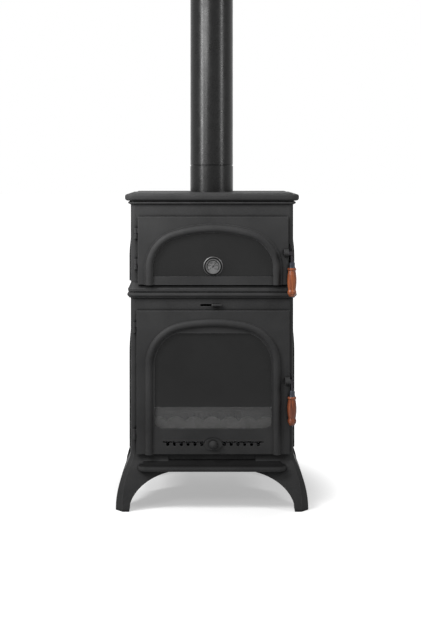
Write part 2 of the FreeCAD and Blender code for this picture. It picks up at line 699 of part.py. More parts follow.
def tie_rods():
    """Four rods that clamp the base, the middle plate and the top together, with their nuts."""
    flange_z = LEG_H - BASE_PLATE - CAST
    z0 = flange_z - NUT_H - 5
    z1 = BOSS_Z + BOSS_H + 2
    shaft = rod(ROD_R, V(ROD_X, -ROD_Y, z0), UP, z1 - z0)
    nut_at = V(ROD_X, -ROD_Y, flange_z - NUT_H)
    nut = hexagon(NUT_ACROSS, nut_at, NUT_H).cut(rod(ROD_R, nut_at, UP, NUT_H))
    return Part.makeCompound(list(four_corners(shaft) + four_corners(nut)))


def body():
    parts["ash_lip"] = ash_lip()
    frame = front_frame(FIRE_Z0, FIRE_Z1, FIRE_DOOR, FIRE_LATCH_Z)
    x0, x1 = AIRWASH_X
    z0, z1 = AIRWASH_Z - AIRWASH_H / 2, AIRWASH_Z + AIRWASH_H / 2
    slot = panel((x0 + x1) / 2, (x1 - x0) / 2, z0, z1, 3.5, FRAME_FACE - 1, FRAME_REAR + 1)
    parts["firebox_front_frame"] = frame.cut(slot)
    parts["oven_front_frame"] = front_frame(OVEN_Z0, OVEN_Z1, OVEN_DOOR, OVEN_LATCH_Z)
    fire_z0 = FIRE_Z0 + CURB
    lower = side_panel(fire_z0, FIRE_Z1, (FIRE_Z1 - 64, FIRE_Z1 - 184))
    ledge = box(INNER_W - 20, INNER_W + 3, -20, BACK_IN - 17, BAFFLE_Z - 10, BAFFLE_Z)
    lower = union([lower, ledge])
    upper = side_panel(OVEN_Z0, OVEN_Z1, (OVEN_Z1 - 77, OVEN_Z1 - 175))
    for name, right in (("firebox", lower), ("oven", upper)):
        parts[name + "_right_panel"] = right
        parts[name + "_left_panel"] = right.mirror(V(0, 0, 0), RIGHT)
    parts["firebox_back_panel"] = back_panel(fire_z0, FIRE_Z1)
    parts["oven_back_panel"] = back_panel(OVEN_Z0, OVEN_Z1)
    parts["mid_plate"] = mid_plate()
    parts["top_plate"] = top_plate()
    parts["tie_rods"] = tie_rods()


# ---- Flue ----
def flue():
    axis = V(0, FLUE_Y, 0)
    z0 = HOTPLATE_Z
    z1 = z0 + COLLAR_H
    outer = FLUE_R + 0.5
    inner = outer - COLLAR_WALL
    spigot = FLUE_R - 3.2
    points = [(inner, z0 - 20), (spigot, z0 - 20), (spigot, z0), (outer, z0), (outer, z1 - 2)]
    points += [(outer - 1, z1 - 0.5), (outer - 3, z1), (inner, z1)]
    parts["flue_collar"] = turned(points, axis, UP, RIGHT)
    swage = inner - 0.5
    low = z1 - SPIGOT_LEN
    bore = FLUE_R - FLUE_WALL
    step = z1 + JOINT_GROOVE
    top = low + PIPE_LEN
    points = [(swage - FLUE_WALL, low), (swage, low), (swage, z1), (bore, z1), (bore, step)]
    points += [(FLUE_R - 0.6, step + 0.4), (FLUE_R, step + 1.4), (FLUE_R, top - 0.6), (FLUE_R - 0.5, top)]
    points += [(bore, top), (bore, step + 2), (swage - FLUE_WALL, step - 1)]
    parts["stove_pipe"] = turned(points, axis, UP, RIGHT)


# ---- Hinges and door castings ----
def hinge_x(door):
    return DOOR_X - door.half_w - HINGE_OUT


def frame_knuckle(door, z):
    """Lower knuckle, cast on the frame. The gap above it is centred on z."""
    x = hinge_x(door)
    z1 = z - KNUCKLE_GAP / 2
    z0 = z1 - KNUCKLE_LEN
    knuckle = rod(KNUCKLE_R, V(x, HINGE_Y, z0), UP, KNUCKLE_LEN)
    web = box(x - KNUCKLE_R, x + KNUCKLE_R, HINGE_Y, FRAME_FACE + 1, z0, z1)
    both = knuckle.fuse(web)
    return both.cut(rod(PIN_R + PIN_CLEAR, V(x, HINGE_Y, z0 + 3), UP, KNUCKLE_LEN))


def door_knuckle(door, z):
    """Upper knuckle, cast on the door's edge."""
    x = hinge_x(door)
    z0 = z + KNUCKLE_GAP / 2
    knuckle = rod(KNUCKLE_R, V(x, HINGE_Y, z0), UP, KNUCKLE_LEN)
    web = box(x, x + HINGE_OUT + 3, HINGE_Y - 3.5, HINGE_Y + 1.5, z0, z0 + KNUCKLE_LEN)
    return knuckle.fuse(web)


def hinge_pins():
    pins = []
    for door in (FIRE_DOOR, OVEN_DOOR):
        x = hinge_x(door)
        for z in door.hinge_z:
            z0 = z - KNUCKLE_GAP / 2 - KNUCKLE_LEN + 3
            top = z + KNUCKLE_GAP / 2 + KNUCKLE_LEN + 1
            shaft = rod(PIN_R, V(x, HINGE_Y, z0), UP, top - z0)
            collar = rod(PIN_COLLAR_R, V(x, HINGE_Y, z - KNUCKLE_GAP / 2), UP, KNUCKLE_GAP - CLEAR)
            pins.append(shaft.fuse(collar).removeSplitter())
    return Part.makeCompound(pins)


def door_seal(door):
    """Rope seal in the groove round a door's back. It stops just short of the frame."""
    def ring(y0, y1):
        outer = panel(DOOR_X, door.seal_half_w, door.seal_z0, door.seal_z1, 18, y0, y1)
        w = SEAL_W
        z0, z1 = door.seal_z0 + w, door.seal_z1 - w
        return outer.cut(panel(DOOR_X, door.seal_half_w - w, z0, z1, 10, y0, y1))

    groove = ring(DOOR_BACK - SEAL_GROOVE, DOOR_BACK)
    rope = ring(DOOR_BACK - SEAL_GROOVE, FRAME_FACE - CLEAR)
    return groove, rope


def latch_lug(door, z):
    x1 = DOOR_X + door.half_w
    x0 = x1 - LUG_LEN
    lug = rod(LUG_R, V(x0, LATCH_Y, z), RIGHT, LUG_LEN)
    root, half = DOOR_FACE + 1, LUG_R + 4
    web = [(LATCH_Y, z + LUG_R), (root, z + half), (root, z - half), (LATCH_Y, z - LUG_R)]
    return lug.fuse(prism_x(web, x0, x1))


def door_blank(door):
    x0, x1 = DOOR_X - door.half_w, DOOR_X + door.half_w
    plate = box(x0, x1, DOOR_FACE, DOOR_BACK, door.z0, door.z1)
    front = [e for e in plate.Edges if e.BoundBox.YMax < DOOR_FACE + 0.01]
    return plate.makeFillet(DOOR_EDGE_R, front)


def finish_door(door, pieces, cuts, latch_z):
    pieces += [door_knuckle(door, z) for z in door.hinge_z] + [latch_lug(door, latch_z)]
    x = hinge_x(door)
    for z in door.hinge_z:
        cuts.append(rod(PIN_R + PIN_CLEAR, V(x, HINGE_Y, z), UP, KNUCKLE_LEN + KNUCKLE_GAP))
    cuts.append(rod(PIN_R, V(DOOR_X + door.half_w - LUG_LEN - 1, LATCH_Y, latch_z), RIGHT, LUG_LEN + 2))
    cuts.append(door_seal(door)[0])
    casting = union(pieces)
    for cut in cuts:
        casting = casting.cut(cut)
    return casting


def window_glass(arch, grow, z0, top):
    """Glass, its gasket and the recess for both behind a door's window."""
    def sheet(extra, y0, y1):
        shape = arch_prism(arch, grow + extra, z0 - extra, y0, y1)
        if top:
            shape = shape.common(box(-400, 400, y0, y1, z0 - extra, top + extra))
        return shape

    front = DOOR_BACK - RECESS
    recess = sheet(GLASS_LAP, front, DOOR_BACK + 1)
    glass = sheet(GLASS_LAP - 0.5, front + GASKET, front + GASKET + GLASS)
    gasket = sheet(GLASS_LAP - 0.5, front, front + GASKET).cut(sheet(1, front - 1, front + GASKET + 1))
    return recess, glass, gasket


def glass_clips(places):
    """Small bent clips, one for each (x, z, direction to the glass)."""
    clips = []
    glass_y = DOOR_BACK - RECESS + GASKET + GLASS
    for x, z, dx, dz in places:
        pad = box(-7, 12, glass_y, glass_y + 1.6, -6, 6)
        foot = box(-7, -1.2, DOOR_BACK, glass_y, -6, 6)
        clip = union([pad, foot])
        clip.rotate(V(0, 0, 0), BACK, -math.degrees(math.atan2(dz, dx)))
        clip.translate(V(x, 0, z))
        clips.append(clip)
    return Part.makeCompound(clips)


def fire_window(y0, y1):
    """Window outline: the inner arch cut flat on top, with its lower corners curved up."""
    z0 = FIRE_WINDOW_Z0
    half = FIRE_ARCH.half_w + FIRE_WINDOW_GROW
    opening = arch_prism(FIRE_ARCH, FIRE_WINDOW_GROW, z0, y0, y1)
    opening = opening.common(box(-400, 400, y0, y1, z0, FIRE_WINDOW_TOP))
    run = half - FIRE_WINDOW_FLAT
    r = (run ** 2 + FIRE_WINDOW_CORNER ** 2) / (2 * FIRE_WINDOW_CORNER)
    t = math.asin(run / r) / 2
    for side in (-1, 1):
        flat = V(DOOR_X + side * FIRE_WINDOW_FLAT, y0, z0)
        middle = V(DOOR_X + side * (FIRE_WINDOW_FLAT + r * math.sin(t)), y0, z0 + r * (1 - math.cos(t)))
        end = V(DOOR_X + side * half, y0, z0 + FIRE_WINDOW_CORNER)
        corner = V(DOOR_X + side * half, y0, z0)
        curve = Part.Arc(flat, middle, end).toShape()
        edges = [curve, Part.makeLine(end, corner), Part.makeLine(corner, flat)]
        opening = opening.cut(Part.Face(Part.Wire(edges)).extrude(V(0, y1 - y0, 0)))
    return opening


# ---- Air controls ----
def notched_slot(y0, y1, grow=0.0):
    """Horizontal air slot with U-shaped notches hanging from it, on both sides of the knob."""
    top, low = AIR_SLOT_Z1 + grow, AIR_SLOT_Z1 - AIR_SLOT_H
    pieces = []
    inner = NOTCH_FIRST - NOTCH_W
    for side in (-1, 1):
        ends = sorted((DOOR_X + side * inner, DOOR_X + side * AIR_SLOT_HALF))
        pieces.append(box(ends[0], ends[1], y0, y1, low, top))
        for k in range(NOTCH_COUNT):
            x = DOOR_X + side * (NOTCH_FIRST + k * NOTCH_PITCH)
            r = NOTCH_W / 2 + grow
            pieces.append(box(x - r, x + r, y0, y1, NOTCH_Z0 + r, low + 0.5))
            pieces.append(rod(r, V(x, y0, NOTCH_Z0 + r), BACK, y1 - y0))
    return union(pieces)


def air_shutter():
    y0 = DOOR_BACK + CLEAR
    y1 = y0 + SHUTTER_THK
    plate = box(DOOR_X - SHUTTER_HALF, DOOR_X + SHUTTER_HALF, y0, y1, SHUTTER_Z0, SHUTTER_Z1)
    return plate.cut(notched_slot(y0 - 1, y1 + 1))


def shutter_guides():
    """Rails above and below the shutter's ends, screwed to the door's back."""
    guides = []
    y0 = DOOR_BACK
    y1 = DOOR_BACK + CLEAR + SHUTTER_THK + CLEAR
    y2 = y1 + GUIDE_LIP
    low, high = SHUTTER_Z0 - CLEAR, SHUTTER_Z1 + CLEAR
    for side in (-1, 1):
        x0, x1 = sorted((DOOR_X + side * (SHUTTER_HALF - 66), DOOR_X + side * (SHUTTER_HALF + 9)))
        upper = box(x0, x1, y0, y1, high, high + GUIDE_H)
        upper = upper.fuse(box(x0, x1, y1, y2, high - GUIDE_OVER, high + GUIDE_H))
        lower = box(x0, x1, y0, y1, low - GUIDE_H, low)
        lower = lower.fuse(box(x0, x1, y1, y2, low - GUIDE_H, low + GUIDE_OVER))
        guides += [upper.removeSplitter(), lower.removeSplitter()]
    return Part.makeCompound(guides)


def air_knob():
    """Oval plate with a domed button, on a stem that passes through the door."""
    y = DOOR_FACE - CLEAR
    middle = V(DOOR_X, y, KNOB_Z)
    ellipse = Part.Ellipse(middle + V(28.5, 0, 0), middle + V(0, 0, 19.5), middle)
    plate = Part.Face(Part.Wire(ellipse.toShape())).extrude(V(0, -4, 0))
    button = [(0, 3), (8.0, 3), (8.0, 6.0), (12.4, 6.0), (13.4, 8.5), (13.4, 11.5), (12.3, 15.5)]
    button += [(10.0, 19.0), (6.6, 21.8), (3.0, 23.3), (0, 23.7)]
    button = turned(button, middle, V(0, -1, 0), RIGHT)
    stem_y = DOOR_BACK + CLEAR
    stem = rod(KNOB_STEM_R, V(DOOR_X, y, KNOB_Z), BACK, stem_y - y)
    return union([plate, button, stem])


def knob_slot():
    r = KNOB_STEM_R + 0.4
    half_w = SHUTTER_TRAVEL + r
    y0, y1 = DOOR_FACE - 1, DOOR_BACK + 1
    return panel(DOOR_X, half_w, KNOB_Z - r, KNOB_Z + r, r - 0.01, y0, y1)


def airwash():
    """Slide behind the front frame, its rails, and the lever that shows through the slot."""
    y0 = FRAME_REAR + CLEAR
    y1 = y0 + SHUTTER_THK
    z = AIRWASH_Z
    half = AIRWASH_H / 2
    x0, x1 = AIRWASH_X
    slide = box(x0 - 6, x1 + 45, y0, y1, z - SLIDE_HALF_H, z + SLIDE_HALF_H)
    window_x1 = AIRWASH_STEM_X - 5.5
    slide = slide.cut(box(x0 + 0.5, window_x1, y0 - 1, y1 + 1, z - half, z + half))
    rails = []
    for side in (-1, 1):
        edge = z + side * (SLIDE_HALF_H + CLEAR)
        far = z + side * (SLIDE_HALF_H + GUIDE_H)
        over = z + side * (SLIDE_HALF_H - GUIDE_OVER)
        foot = box(x0 - 41, x1 + 48, FRAME_REAR, y1 + CLEAR, *sorted((edge, far)))
        lip = box(x0 - 41, x1 + 48, y1 + CLEAR, y1 + CLEAR + 2, *sorted((over, far)))
        rails.append(foot.fuse(lip).removeSplitter())
    parts["airwash_rails"] = Part.makeCompound(rails)
    bar_y = FRAME_FACE - 6.5
    x = AIRWASH_STEM_X
    stem = box(x - 2.5, x + 2.5, bar_y, y0 + 1, z - 2.5, z + 2.5)
    lever = [(0, -3.0), (2.6, -2.6), (4.2, -0.8), (4.8, 1.6), (4.2, 4.2), (3.2, 6.0), (3.6, 8.0)]
    lever += [(3.6, 29.5), (2.4, 31.0), (0, 31.0)]
    lever = turned(lever, V(x, bar_y, z), RIGHT, UP)
    parts["airwash_slide"] = union([slide, stem, lever])


# ---- Latches ----
def latch_lever(door, z):
    """Hub, hooked nose and tang of a door latch."""
    y = LATCH_Y
    x0 = DOOR_X + door.half_w + 0.5
    x1 = LATCH_END_X
    hub = rod(8, V(x0, y, z), RIGHT, x1 - x0)
    rear = FRAME_REAR - LATCH_Y + CLEAR
    nose = [(y, z + 5), (y + rear, z + 5), (y + rear, z + 22), (y + rear + 3.7, z + 22)]
    nose += [(y + rear + 7.7, z + 14), (y + rear + 7.7, z - 5), (y, z - 5)]
    nose = prism_x(nose, LATCH_X - LATCH_THK / 2, LATCH_X + LATCH_THK / 2)
    neck = Part.makeCone(5.0, 4.6, 24, V(HANDLE_X, y, z - 3), V(0, 0, -1))
    tang_len = GRIP_LEN + 20 + 3
    tang = rod(TANG_R, V(HANDLE_X, y, z + FERRULE_TOP), V(0, 0, -1), tang_len)
    lever = union([hub, nose, neck, tang])
    return lever.cut(rod(PIN_R + PIN_CLEAR, V(x0 - 1, y, z), RIGHT, x1 - x0 + 2))


def latch_pin(door, z):
    """Pin with a shouldered head at each end, which keeps the lever on its lug."""
    x1 = DOOR_X + door.half_w
    x0 = x1 - LUG_LEN
    end = LATCH_END_X + CLEAR - x0
    points = [(0, -2), (4.6, -2), (4.6, 0), (PIN_R, 0), (PIN_R, end), (4.6, end), (4.6, end + 1)]
    points += [(3.6, end + 2), (0, end + 2)]
    return turned(points, V(x0, LATCH_Y, z), RIGHT, UP)


def ferrule(z):
    top = z + FERRULE_TOP
    bore = TANG_R + 0.1
    points = [(bore, 0), (6.0, 0), (FERRULE_R, -4), (FERRULE_R, -16), (FERRULE_R + 1, -17.5)]
    points += [(FERRULE_R + 1, -20), (bore, -20)]
    return turned(points, V(HANDLE_X, LATCH_Y, top), UP, RIGHT)


def grip(z):
    """Turned wooden grip: a bead, a swelling body, a waist and an end bead, round a hole."""
    hole = TANG_R + 0.1
    r, long = GRIP_R, GRIP_LEN
    points = [(hole, 0), (r - 3.4, 0), (r - 0.8, -3.2), (r - 0.8, -6.4), (r - 3.2, -9.6)]
    points += [(r - 1.2, -22), (r, -36), (r - 0.2, -49), (r - 1.5, -62), (r - 2.9, -70.5)]
    points += [(r - 0.6, -77), (r - 1.0, -83.5), (r - 6, -long), (hole, -long)]
    return turned(points, V(HANDLE_X, LATCH_Y, z + GRIP_TOP), UP, RIGHT)


def grip_nut(z):
    top = V(HANDLE_X, LATCH_Y, z + GRIP_TOP - GRIP_LEN)
    bore = TANG_R + 0.1
    points = [(bore, 0), (5.2, 0), (5.2, -2.6), (3.0, -5.2), (0, -5.2), (0, -3.0), (bore, -3.0)]
    return turned(points, top, UP, RIGHT)


def latches():
    for name, door, z in (("fire", FIRE_DOOR, FIRE_LATCH_Z), ("oven", OVEN_DOOR, OVEN_LATCH_Z)):
        parts[name + "_latch_lever"] = latch_lever(door, z)
        parts[name + "_latch_pin"] = latch_pin(door, z)
        parts[name + "_grip"] = grip(z)
        parts[name + "_grip_fittings"] = Part.makeCompound([ferrule(z), grip_nut(z)])


# ---- Thermometer in the oven glass ----
def thermometer():
    """Dial thermometer through the oven glass, held by a nut behind it."""
    centre = V(DOOR_X, DOOR_BACK - RECESS + GASKET, THERMO_Z)
    forward = V(0, -1, 0)
    r, dial, body_r, bore = THERMO_R, THERMO_DIAL_R, THERMO_BODY_R, THERMO_SHAFT_R + PIN_CLEAR
    tail = -GLASS - THERMO_NUT_H
    points = [(bore, THERMO_PROBE), (4.0, THERMO_PROBE), (4.0, tail), (body_r, tail), (body_r, 0)]
    points += [(r, 0), (r, 3), (r - 2.5, 5.2), (dial - 1.2, 5.2), (dial - 1.2, 4.2)]
    points += [(dial + 0.2, 4.2), (dial + 0.2, 0.8), (bore, 0.8)]
    case = turned(points, centre, forward, RIGHT)
    nut_r = body_r + THERMO_NUT_OUT
    nut = [(body_r, tail), (nut_r, tail), (nut_r, -GLASS), (body_r, -GLASS)]
    nut = turned(nut, centre, forward, RIGHT)
    parts["thermometer_case"] = Part.makeCompound([case, nut])
    face = [(bore, 0.8), (dial, 0.8), (dial, 1.3), (bore, 1.3)]
    parts["thermometer_dial"] = turned(face, centre, forward, RIGHT)
    parts["thermometer_lens"] = rod(dial, centre + V(0, -3.2, 0), forward, 1.0)
    needle = [(-0.9, -6), (0.9, -6), (1.1, 0), (0.35, 19), (-0.35, 19), (-1.1, 0)]
    wire = Part.makePolygon([centre + V(x, -2.4, z) for x, z in needle + needle[:1]])
    hand = Part.Face(wire).extrude(V(0, 0.5, 0))
    hub = rod(2.4, centre + V(0, -2.7, 0), BACK, 0.9)
    shaft = rod(THERMO_SHAFT_R, centre + V(0, -2, 0), BACK, 1 - THERMO_PROBE)
    hand = union([hand, hub, shaft])
    hand.rotate(centre, BACK, POINTER_ANGLE)
    parts["thermometer_pointer"] = hand


def doors():
    front, back = DOOR_FACE - 1, DOOR_BACK + 1
    window = FIRE_WINDOW_GROW, FIRE_WINDOW_Z0, FIRE_WINDOW_TOP
    recess, glass, gasket = window_glass(FIRE_ARCH, *window)
    pieces = [door_blank(FIRE_DOOR), arch_moulding(FIRE_ARCH, FIRE_DOOR.z0)]
    cuts = [fire_window(front, back), recess, notched_slot(front, back), knob_slot()]
    parts["fire_door_casting"] = finish_door(FIRE_DOOR, pieces, cuts, FIRE_LATCH_Z)
    parts["fire_door_glass"] = glass
    parts["fire_glass_gasket"] = gasket
    side = FIRE_ARCH.half_w + FIRE_WINDOW_GROW + GLASS_LAP + CLIP_OFF
    low, high = FIRE_WINDOW_Z0 - GLASS_LAP - CLIP_OFF, FIRE_WINDOW_TOP + GLASS_LAP + CLIP_OFF
    places = []
    for sign in (-1, 1):
        for z in (FIRE_WINDOW_Z0 + 71, FIRE_ARCH.spring_z - 28):
            places.append((DOOR_X + sign * side, z, -sign, 0))
        places.append((DOOR_X + sign * 70, high, 0, -1))
        places.append((DOOR_X + sign * 100, low, 0, 1))
    parts["fire_glass_clips"] = glass_clips(places)
    parts["fire_door_seal"] = door_seal(FIRE_DOOR)[1]
    parts["air_shutter"] = air_shutter()
    parts["shutter_guides"] = shutter_guides()
    parts["air_knob"] = air_knob()

    recess, glass, gasket = window_glass(OVEN_ARCH, OVEN_WINDOW_GROW, OVEN_WINDOW_Z0, None)
    step_y, half, z0 = DOOR_FACE - OVEN_STEP_H, MOULD_W / 2, OVEN_DOOR.z0
    step = arch_prism(OVEN_ARCH, half + OVEN_STEP_W, z0, step_y, DOOR_FACE + 1)
    pieces = [door_blank(OVEN_DOOR), step, arch_moulding(OVEN_ARCH, z0)]
    inner = arch_prism(OVEN_ARCH, -half, z0 - 1, step_y, DOOR_FACE)
    window = arch_prism(OVEN_ARCH, OVEN_WINDOW_GROW, OVEN_WINDOW_Z0, front, back)
    cuts = [inner, window, recess]
    parts["oven_door_casting"] = finish_door(OVEN_DOOR, pieces, cuts, OVEN_LATCH_Z)
    hole_r = THERMO_BODY_R + CLEAR
    hole = rod(hole_r, V(DOOR_X, DOOR_FACE, THERMO_Z), BACK, DOOR_PLATE + 10)
    parts["oven_door_glass"] = glass.cut(hole)
    parts["oven_glass_gasket"] = gasket
    side = OVEN_ARCH.half_w + OVEN_WINDOW_GROW + GLASS_LAP + CLIP_OFF
    top = OVEN_ARCH.spring_z + OVEN_ARCH.rise + OVEN_WINDOW_GROW + GLASS_LAP + CLIP_OFF
    low = OVEN_WINDOW_Z0 + 20.5
    places = [(DOOR_X - side, low, 1, 0), (DOOR_X + side, low, -1, 0), (DOOR_X, top, 0, -1)]
    parts["oven_glass_clips"] = glass_clips(places)
    parts["oven_door_seal"] = door_seal(OVEN_DOOR)[1]
    parts["hinge_pins"] = hinge_pins()


# ---- Inside the firebox ----
def firebed():
    """Plate over the ash space, and the two rails under it that carry the ash pan."""
    top, low = BED_Z, BED_Z - CAST
    half_w = INNER_W - 4
    plate = box(-half_w, half_w, FRAME_REAR + 7, BACK_IN - 1, low, top)
    hole_w = GRATE_HALF_W - 8
    plate = plate.cut(box(-hole_w, hole_w, GRATE_Y[0] + 8, GRATE_Y[1] - 8, low - 1, top + 1))
    for hole in four_corners(rod(ROD_R + 8, V(ROD_X, -ROD_Y, low - 1), UP, CAST + 2)):
        plate = plate.cut(hole)
    pieces = [plate]
    y0, y1 = PAN_Y[0], PAN_Y[1] + 22
    for side in (-1, 1):
        web = box(*sorted((side * (PAN_HALF_W + 2), side * (PAN_HALF_W + 10))), y0, y1, LEG_H, low)
        ledge_x = sorted((side * (PAN_HALF_W - 12), side * (PAN_HALF_W + 3)))
        ledge = box(*ledge_x, y0, y1 - 20, PAN_Z0 - 5, PAN_Z0)
        pieces.append(union([web, ledge]))
    return Part.makeCompound(pieces)


def hearth_bricks():
    z0, z1 = BED_Z, BED_Z + BRICK_H
    joint = 1.0
    x_in, x_out = GRATE_HALF_W + joint, INNER_W - 34
    y_front, y_back = FENCE_Y + CAST + joint, BACK_IN - 2
    bricks = []
    count = 3
    length = (y_back - y_front) / count
    for side in (-1, 1):
        for k in range(count):
            y0 = y_front + k * length
            bricks.append(box(*sorted((side * x_in, side * x_out)), y0, y0 + length - joint, z0, z1))
    for y0, y1 in ((y_front, GRATE_Y[0] - joint), (GRATE_Y[1] + joint, y_back - joint)):
        for x0, x1 in ((-GRATE_HALF_W, -joint / 2), (joint / 2, GRATE_HALF_W)):
            bricks.append(box(x0, x1, y0, y1, z0, z1))
    return Part.makeCompound(bricks)


def fire_grate():
    half_w, y0, y1 = GRATE_HALF_W - 0.5, GRATE_Y[0] + 0.5, GRATE_Y[1] - 0.5
    grate = box(-half_w, half_w, y0, y1, BED_Z, BED_Z + GRATE_H)
    slots = []
    count = 9
    pitch = 2 * (half_w - 13.5) / count
    for k in range(count):
        x = -half_w + 13.5 + (k + 0.5) * pitch
        slots.append(box(x - 5, x + 5, y0 + 15.5, y1 - 15.5, BED_Z - 1, BED_Z + GRATE_H + 1))
    return grate.cut(Part.makeCompound(slots))


def log_fence():
    """Low front fence with a scalloped top edge, standing on the firebed."""
    half = 3.5 * SCALLOP_PITCH
    valley = FENCE_TOP - SCALLOP_H
    edges = [Part.makeLine(V(-half, FENCE_Y, BED_Z), V(-half, FENCE_Y, valley))]
    for k in range(7):
        x0 = -half + k * SCALLOP_PITCH
        x1 = x0 + SCALLOP_PITCH
        top = V((x0 + x1) / 2, FENCE_Y, FENCE_TOP)
        edges.append(Part.Arc(V(x0, FENCE_Y, valley), top, V(x1, FENCE_Y, valley)).toShape())
    edges.append(Part.makeLine(V(half, FENCE_Y, valley), V(half, FENCE_Y, BED_Z)))
    edges.append(Part.makeLine(V(half, FENCE_Y, BED_Z), V(-half, FENCE_Y, BED_Z)))
    return Part.Face(Part.Wire(edges)).extrude(V(0, CAST, 0))


def ash_pan():
    w, y0, y1, z = PAN_HALF_W, PAN_Y[0], PAN_Y[1], PAN_Z0
    t = PAN_WALL
    pan = box(-w, w, y0, y1, z, z + PAN_H)
    pan = pan.cut(box(-w + t, w - t, y0 + t, y1 - t, z + t, z + PAN_H + 1))
    handle = box(-30, 30, y0 - 18, y0, z + 6, z + 10).cut(box(-24, 24, y0 - 12, y0, z + 5, z + 11))
    return union([pan, handle])


def inside():
    parts["firebed_plate"] = firebed()
    parts["hearth_bricks"] = hearth_bricks()
    parts["fire_grate"] = fire_grate()
    parts["log_fence"] = log_fence()
    parts["ash_pan"] = ash_pan()
    half_w = INNER_W - 2
    baffle = box(-half_w, half_w, -60, BACK_IN - 2, BAFFLE_Z, BAFFLE_Z + CAST)
    for hole in four_corners(rod(ROD_R + 8, V(ROD_X, -ROD_Y, BAFFLE_Z - 1), UP, CAST + 2)):
        baffle = baffle.cut(hole)
    parts["baffle_plate"] = baffle
    oven_liner()
    parts["oven_rack"] = oven_rack()


def oven_liner():
    """Five plates round the oven, standing clear of the casting so that smoke can pass."""
    w, z0, z1 = CAVITY_HALF_W, CAVITY_Z0, CAVITY_Z1
    out = w + LINER
    front, back = FRAME_REAR, CAVITY_BACK
    pieces = [box(-out, out, front, back + LINER, z0 - LINER, z0)]
    for side in (-1, 1):
        foot_x = sorted((side * (w - 42), side * (w - 32)))
        pieces.append(box(*foot_x, front + 5, back - 55, OVEN_Z0, z0 - LINER + 1))
    parts["oven_floor"] = union(pieces)
    parts["oven_roof"] = box(-out, out, front, back + LINER, z1, z1 + LINER)
    right = box(w, out, front, back, z0, z1)
    ledge_z = RACK_Z - RACK_WIRE_R
    ledge = box(w - 10, w + 1, front + 10, back - 5, ledge_z - 4, ledge_z)
    right = union([right, ledge])
    parts["oven_right_wall"] = right
    parts["oven_left_wall"] = right.mirror(V(0, 0, 0), RIGHT)
    parts["oven_back_wall"] = box(-out, out, back, back + LINER, z0, z1)


def oven_rack():
    half = CAVITY_HALF_W - 5
    y0, y1 = FRAME_REAR + 14, CAVITY_BACK - 8
    wires = []
    for y in (y0, y1):
        wires.append(rod(RACK_WIRE_R, V(-half, y, RACK_Z), RIGHT, 2 * half))
    for x in (-half, half):
        wires.append(rod(RACK_WIRE_R, V(x, y0, RACK_Z), BACK, y1 - y0))
    count = 9
    for k in range(1, count + 1):
        x = -half + 2 * half * k / (count + 1)
        wires.append(rod(1.8, V(x, y0, RACK_Z), BACK, y1 - y0))
    return union(wires)


legs_and_base()
body()
flue()
thermometer()
doors()
latches()
airwash()
inside()

os.makedirs("parts", exist_ok=True)
for name, shape in sorted(parts.items()):
    shape.exportStep("parts/" + name + ".step")
    solids = shape.Solids
    print(f"{name:24s} solids {len(solids)} valid {shape.isValid()} volume {shape.Volume / 1000:.1f} cm3")
print(len(parts), "nodes")
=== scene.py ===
import json
import math

import bpy
from mathutils import Matrix, Vector


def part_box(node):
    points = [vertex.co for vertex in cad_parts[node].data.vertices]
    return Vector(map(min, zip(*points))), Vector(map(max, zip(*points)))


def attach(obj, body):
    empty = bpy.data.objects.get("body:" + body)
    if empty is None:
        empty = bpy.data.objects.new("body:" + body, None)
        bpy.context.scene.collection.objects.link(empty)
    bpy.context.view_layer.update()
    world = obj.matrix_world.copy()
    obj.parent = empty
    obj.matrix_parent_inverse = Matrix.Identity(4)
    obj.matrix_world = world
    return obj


# Looks, light and camera for a cast-iron wood stove with an oven above the firebox.
# Metres, in the part's own frame: +Z up, the doors face -Y.

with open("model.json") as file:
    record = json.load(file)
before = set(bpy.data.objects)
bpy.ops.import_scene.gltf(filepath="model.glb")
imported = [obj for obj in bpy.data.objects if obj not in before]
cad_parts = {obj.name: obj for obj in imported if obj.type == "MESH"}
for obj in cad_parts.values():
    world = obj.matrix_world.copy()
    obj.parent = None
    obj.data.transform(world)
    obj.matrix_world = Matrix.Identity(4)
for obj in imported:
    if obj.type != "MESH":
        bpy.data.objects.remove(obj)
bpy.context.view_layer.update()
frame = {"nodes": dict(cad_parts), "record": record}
nodes = frame["nodes"]

# ---- Camera, measured on the photograph (pixels of a 421 x 631 image) ----
IMAGE_W = 421
IMAGE_H = 631
SENSOR = 36.0
METRES_PER_PX = 0.00326         # at the plane of the front frames
CAMERA_DISTANCE = 3.6           # from that plane
FRONT_FACE_Y = -0.205
HORIZON_PX = 167.0
CAMERA_X = -0.015
CAMERA_Z = 1.110
MIDDLE_PX = 212.0               # where the stove's middle shows in the front plane

# ---- Tones ----
IRON_DARK = (0.024, 0.024, 0.0243, 1)
IRON_LIGHT = (0.040, 0.040, 0.0404, 1)
EDGE_TONE_GAIN = 1.9                    # how much lighter an edge is than the light tone: worn paint and a painted highlight
WHITE = (1, 1, 1, 1)

# ---- Reaches of the lighter edges and of the painted crevice shade, metres ----
EDGE_BAND_WIDTH = 0.002               # how wide the lighter edges are
IRON_SHADE_REACH = 0.016            # how near another surface must be for painted shade on the iron
SMALL_SHADE_REACH = 0.006           # the same painted shade for the flue and the grips


# ---- Node helpers ----
def material(name, **values):
    """A new material, its tree and its shader, with plain values set on the shader."""
    made = bpy.data.materials.new(name)
    made.use_nodes = True
    shader = made.node_tree.nodes["Principled BSDF"]
    for socket, value in values.items():
        shader.inputs[socket.replace("_", " ")].default_value = value
    return made, made.node_tree, shader


def node(tree, kind, **values):
    """A new node; a value goes to the input of that name, or else to the node's own setting."""
    made = tree.nodes.new(kind)
    for key, value in values.items():
        if key in made.inputs:
            made.inputs[key].default_value = value
        else:
            setattr(made, key, value)
    return made


